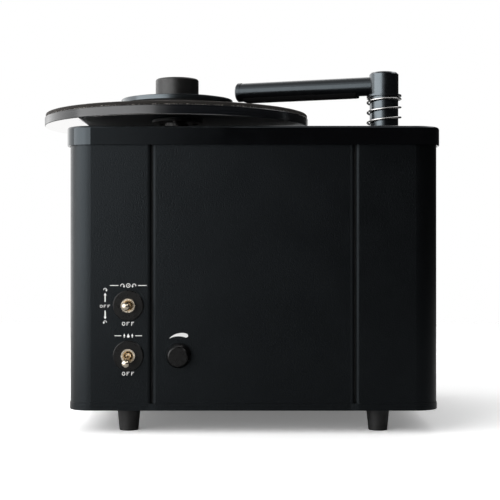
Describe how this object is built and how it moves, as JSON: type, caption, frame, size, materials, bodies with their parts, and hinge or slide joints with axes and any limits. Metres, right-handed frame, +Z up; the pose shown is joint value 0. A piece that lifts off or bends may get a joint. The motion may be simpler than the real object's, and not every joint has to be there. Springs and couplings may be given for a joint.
{
  "type": "record cleaning machine",
  "caption": "Vacuum record cleaning machine: black sheet case, overhanging turntable with clamp, sprung swing-over suction arm, two toggle switches and a level knob.",
  "frame": {"origin": "on the surface that it stands on, under the middle of the whole machine with its overhanging platter and rear drain spigot", "axes": "+Z up along the platter axis, so -Z out of the feet; -Y out of the front panel, so +Y out of the back along the drain spigot; +X to the right"},
  "size_m": [0.3535, 0.3594, 0.3173],
  "materials": {
    "case_paint": "fine-grained matte powder coat",
    "lid_gloss": "high-gloss moulded cap",
    "soft_rubber": "soft matte rubber",
    "zinc_steel": "zinc-plated steel",
    "foot_rubber": "matte moulded rubber",
    "platter_metal": "satin turned metal, fine turning lines on its rim",
    "platter_mat": "short dark fibre mat",
    "turned_metal": "turned aluminium",
    "polished_steel": "bright steel",
    "black_metal": "satin black",
    "bronze": "sintered bronze and brass",
    "gear_plastic": "moulded gear plastic",
    "cast_metal": "cast and deburred",
    "motor_metal": "pressed steel can",
    "clamp_metal": "satin black anodised, brighter turned rim",
    "knob_plastic": "fine-grained moulded plastic",
    "arm_metal": "satin black coating",
    "velvet": "short black velvet",
    "white_plastic": "moulded natural plastic",
    "hose_rubber": "flexible dark grey rubber",
    "float_plastic": "hollow float",
    "tap_brass": "turned brass",
    "lever_plastic": "dipped handle",
    "board": "circuit board with its parts",
    "nickel": "nickel plate"
  },
  "bodies": {
    "case": {"base_plate": "case_paint", "left_side_shell": "case_paint", "right_side_shell": "case_paint", "front_panel": "case_paint", "rear_panel": "case_paint", "top_lid": "lid_gloss", "seam_seals": "soft_rubber", "shell_brackets": "zinc_steel", "case_screws": "zinc_steel", "feet": "foot_rubber", "bearing_housing": "black_metal", "bearing_bushes": "bronze", "gearbox_case": "cast_metal", "gearbox_cover": "cast_metal", "platter_motor": "motor_metal", "drive_standoffs": "bronze", "arm_flange": "black_metal", "arm_guide": "white_plastic", "suction_hose": "hose_rubber", "waste_tank": "white_plastic", "tank_gasket": "soft_rubber", "tank_cover": "white_plastic", "vacuum_hose": "hose_rubber", "vacuum_motor": "motor_metal", "motor_mount": "soft_rubber", "fan_housing": "cast_metal", "exhaust_duct": "knob_plastic", "exhaust_grille": "knob_plastic", "drain_hose": "hose_rubber", "drain_tap": "tap_brass", "power_inlet": "knob_plastic", "control_board": "board", "wire_looms": "hose_rubber", "switch_bodies": "nickel", "switch_discs": "knob_plastic"},
    "platter": {"platter": "platter_metal", "platter_mat": "platter_mat", "platter_hub": "black_metal", "spindle": "polished_steel", "drive_gear": "gear_plastic"},
    "pinion": {"motor_pinion": "bronze", "motor_shaft": "polished_steel"},
    "clamp": {"clamp_disc": "clamp_metal", "clamp_seal": "soft_rubber"},
    "clamp_knob": {"clamp_knob": "knob_plastic"},
    "swing": {"spring_washer": "polished_steel", "arm_spring": "polished_steel"},
    "arm": {"arm_post": "arm_metal", "arm_head": "arm_metal", "arm_tube": "arm_metal", "arm_end_cap": "knob_plastic", "arm_pads": "velvet", "spring_collar": "arm_metal"},
    "float": {"float_ball": "float_plastic"},
    "impeller": {"vacuum_impeller": "turned_metal"},
    "drain_lever": {"drain_lever": "lever_plastic"},
    "fuse_drawer": {"fuse_drawer": "knob_plastic"},
    "turntable_toggle": {"turntable_toggle": "nickel"},
    "vacuum_toggle": {"vacuum_toggle": "nickel"},
    "level_knob": {"level_knob": "knob_plastic"}
  },
  "joints": [
    {"name": "platter_spin", "type": "hinge", "parent": "case", "child": "platter", "pos_m": [-0.05505, -0.05775, 0.27], "axis": [0, 0, 1], "continuous": true},
    {"name": "pinion_spin", "type": "hinge", "parent": "case", "child": "pinion", "pos_m": [-0.05505, -0.02145, 0.178], "axis": [0, 0, 1], "continuous": true},
    {"name": "clamp_lift", "type": "slide", "parent": "platter", "child": "clamp", "axis": [0, 0, 1], "range_m": [0, 0.025]},
    {"name": "clamp_turn", "type": "hinge", "parent": "clamp", "child": "clamp_knob", "pos_m": [-0.05505, -0.05775, 0.3], "axis": [0, 0, 1], "continuous": true},
    {"name": "arm_swing", "type": "hinge", "parent": "case", "child": "swing", "pos_m": [0.13325, -0.09775, 0.28], "axis": [0, 0, 1], "range_deg": [-75, 0]},
    {"name": "arm_down", "type": "slide", "parent": "swing", "child": "arm", "axis": [0, 0, -1], "range_m": [0, 0.0105], "stiffness_N_per_m": 450, "springref_m": -0.012, "deforming": ["arm_spring"]},
    {"name": "float_rise", "type": "slide", "parent": "case", "child": "float", "axis": [0, 0, 1], "range_m": [0, 0.02]},
    {"name": "impeller_spin", "type": "hinge", "parent": "case", "child": "impeller", "pos_m": [0.07175, 0.07225, 0.12], "axis": [0, 0, 1], "continuous": true},
    {"name": "drain_turn", "type": "hinge", "parent": "case", "child": "drain_lever", "pos_m": [0.02075, 0.15775, 0.04], "axis": [0, 0, 1], "range_deg": [0, 90]},
    {"name": "fuse_drawer_pull", "type": "slide", "parent": "case", "child": "fuse_drawer", "axis": [0, 1, 0], "range_m": [0, 0.014]},
    {"name": "turntable_switch", "type": "hinge", "parent": "case", "child": "turntable_toggle", "pos_m": [-0.09085, -0.15325, 0.1095], "axis": [-1, 0, 0], "range_deg": [-12, 12]},
    {"name": "vacuum_switch", "type": "hinge", "parent": "case", "child": "vacuum_toggle", "pos_m": [-0.09085, -0.15325, 0.0667], "axis": [-1, 0, 0], "range_deg": [0, 24]},
    {"name": "level_turn", "type": "hinge", "parent": "case", "child": "level_knob", "pos_m": [-0.04795, -0.15525, 0.067], "axis": [0, -1, 0], "range_deg": [-140, 140]}
  ],
  "couplings": [
    {"joint": "pinion_spin", "follows": "platter_spin", "ratio": -5}
  ]
}
